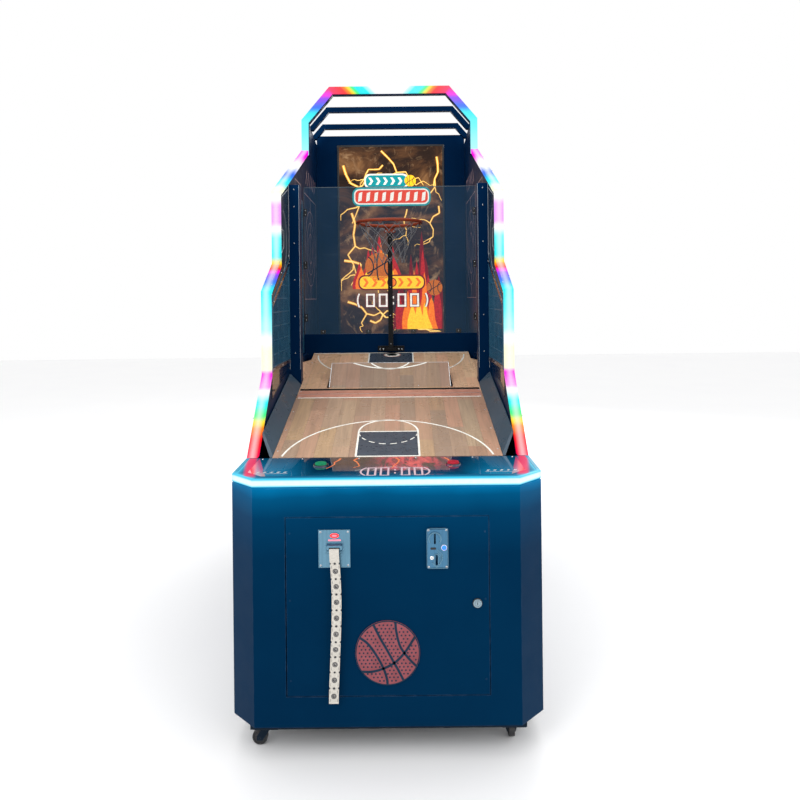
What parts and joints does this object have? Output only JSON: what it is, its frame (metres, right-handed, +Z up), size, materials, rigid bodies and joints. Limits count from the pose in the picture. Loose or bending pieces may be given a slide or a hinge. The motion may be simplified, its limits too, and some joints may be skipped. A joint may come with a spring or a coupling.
{
  "type": "basketball hoop machine",
  "caption": "Coin-operated basketball hoop arcade machine: lit cabinet and console, sloping court with ball gate, mesh walls, clear backboard, hoop and tall screen.",
  "frame": {"origin": "centre of the bounding box on the floor plane, under the wheels", "axes": "+Z up, +Y from the player into the machine, +X to the player's right"},
  "size_m": [1, 2.3332, 2.646],
  "materials": {
    "casing": "satin deep teal-navy paint on board",
    "tower": "satin navy paint on board",
    "base_steel": "black powder coat",
    "gloss_black": "polished black",
    "light": "lit translucent diffuser, colours change along it",
    "court": "printed wood planks under clear lacquer",
    "print": "printed panel with pale court lines",
    "mesh": "painted wire mesh",
    "clear": "clear grey acrylic",
    "rim": "red-brown paint",
    "post": "black paint",
    "net": "white braided cord",
    "ticket": "printed card",
    "plate_steel": "brushed plate",
    "chrome": "polished",
    "grille": "perforated sheet with printed colour",
    "black_plastic": "moulded black",
    "caster_steel": "zinc plated",
    "caster_wheel": "black nylon",
    "green_cap": "lit translucent green",
    "red_cap": "lit translucent red",
    "blue_cap": "lit translucent blue",
    "board": "circuit board",
    "screen": "lit display panel"
  },
  "bodies": {
    "root": {"base_frame": "base_steel", "front_cabinet": "casing", "rear_cabinet": "casing", "console_deck": "gloss_black", "console_light": "light", "coin_box": "plate_steel", "power_supply": "plate_steel", "control_board": "board", "power_inlet": "black_plastic", "front_court": "court", "rear_court": "court", "gate_motor": "black_plastic", "header_light": "light", "header_arch": "tower", "middle_roof_arch": "tower", "rear_roof_arch": "tower", "back_panel": "tower", "screen": "screen", "rear_cover": "casing", "backboard_frame": "tower", "backboard": "clear", "hoop_post": "post", "hoop_rim": "rim", "hoop_net": "net", "left_skirt": "tower", "left_front_wall": "tower", "left_rear_wall": "tower", "left_light_strip": "light", "left_lower_lining": "gloss_black", "left_print_panel": "print", "left_front_mesh": "mesh", "left_rear_mesh": "mesh", "right_skirt": "tower", "right_front_wall": "tower", "right_rear_wall": "tower", "right_light_strip": "light", "right_lower_lining": "gloss_black", "right_print_panel": "print", "right_front_mesh": "mesh", "right_rear_mesh": "mesh"},
    "door": {"service_door": "casing", "coin_acceptor": "plate_steel", "ticket_dispenser": "plate_steel", "ticket_strip": "ticket", "speaker_grille": "grille", "speaker_driver": "black_plastic"},
    "door_lock": {"door_lock": "chrome"},
    "reject_button": {"coin_reject_button": "blue_cap"},
    "green_button": {"green_button": "green_cap"},
    "red_button": {"red_button": "red_cap"},
    "gate": {"gate_flap": "court"},
    "power_switch": {"power_switch": "red_cap"},
    "front_left_caster_fork": {"front_left_caster_fork": "caster_steel"},
    "front_left_caster_wheel": {"front_left_caster_wheel": "caster_wheel"},
    "front_right_caster_fork": {"front_right_caster_fork": "caster_steel"},
    "front_right_caster_wheel": {"front_right_caster_wheel": "caster_wheel"},
    "rear_left_caster_fork": {"rear_left_caster_fork": "caster_steel"},
    "rear_left_caster_wheel": {"rear_left_caster_wheel": "caster_wheel"},
    "rear_right_caster_fork": {"rear_right_caster_fork": "caster_steel"},
    "rear_right_caster_wheel": {"rear_right_caster_wheel": "caster_wheel"}
  },
  "joints": [
    {"name": "service_door_hinge", "type": "hinge", "parent": "root", "child": "door", "pos_m": [-0.308, -1.1334, 0.48], "axis": [0, 0, -1], "range_deg": [0, 110]},
    {"name": "door_lock_turn", "type": "hinge", "parent": "door", "child": "door_lock", "pos_m": [0.2817, -1.1394, 0.4875], "axis": [0, -1, 0], "range_deg": [0, 90]},
    {"name": "reject_button_press", "type": "slide", "parent": "door", "child": "reject_button", "axis": [0, 1, 0], "range_m": [0, 0.003], "stiffness_N_per_m": 500, "springref_m": -0.001},
    {"name": "green_button_press", "type": "slide", "parent": "root", "child": "green_button", "axis": [0, 0, -1], "range_m": [0, 0.004], "stiffness_N_per_m": 1500, "springref_m": -0.002},
    {"name": "red_button_press", "type": "slide", "parent": "root", "child": "red_button", "axis": [0, 0, -1], "range_m": [0, 0.004], "stiffness_N_per_m": 1500, "springref_m": -0.002},
    {"name": "ball_gate_hinge", "type": "hinge", "parent": "root", "child": "gate", "pos_m": [0, -0.12709, 1.02971], "axis": [1, 0, 0], "range_deg": [-22, 0]},
    {"name": "power_switch_tip", "type": "hinge", "parent": "root", "child": "power_switch", "pos_m": [0.252, 1.1566, 0.26], "axis": [1, 0, 0], "range_deg": [0, 14]},
    {"name": "front_left_caster_swivel", "type": "hinge", "parent": "root", "child": "front_left_caster_fork", "pos_m": [-0.39, -1.0494, 0.06], "axis": [0, 0, 1], "continuous": true},
    {"name": "front_left_wheel_spin", "type": "hinge", "parent": "front_left_caster_fork", "child": "front_left_caster_wheel", "pos_m": [-0.418, -1.0494, 0.025], "axis": [0, 1, 0], "continuous": true},
    {"name": "front_right_caster_swivel", "type": "hinge", "parent": "root", "child": "front_right_caster_fork", "pos_m": [0.4, -1.0494, 0.06], "axis": [0, 0, 1], "continuous": true},
    {"name": "front_right_wheel_spin", "type": "hinge", "parent": "front_right_caster_fork", "child": "front_right_caster_wheel", "pos_m": [0.4, -1.0214, 0.025], "axis": [1, 0, 0], "continuous": true},
    {"name": "rear_left_caster_swivel", "type": "hinge", "parent": "root", "child": "rear_left_caster_fork", "pos_m": [-0.4, 1.0406, 0.06], "axis": [0, 0, 1], "continuous": true},
    {"name": "rear_left_wheel_spin", "type": "hinge", "parent": "rear_left_caster_fork", "child": "rear_left_caster_wheel", "pos_m": [-0.4, 1.0686, 0.025], "axis": [1, 0, 0], "continuous": true},
    {"name": "rear_right_caster_swivel", "type": "hinge", "parent": "root", "child": "rear_right_caster_fork", "pos_m": [0.4, 1.0406, 0.06], "axis": [0, 0, 1], "continuous": true},
    {"name": "rear_right_wheel_spin", "type": "hinge", "parent": "rear_right_caster_fork", "child": "rear_right_caster_wheel", "pos_m": [0.4, 1.0686, 0.025], "axis": [1, 0, 0], "continuous": true}
  ]
}
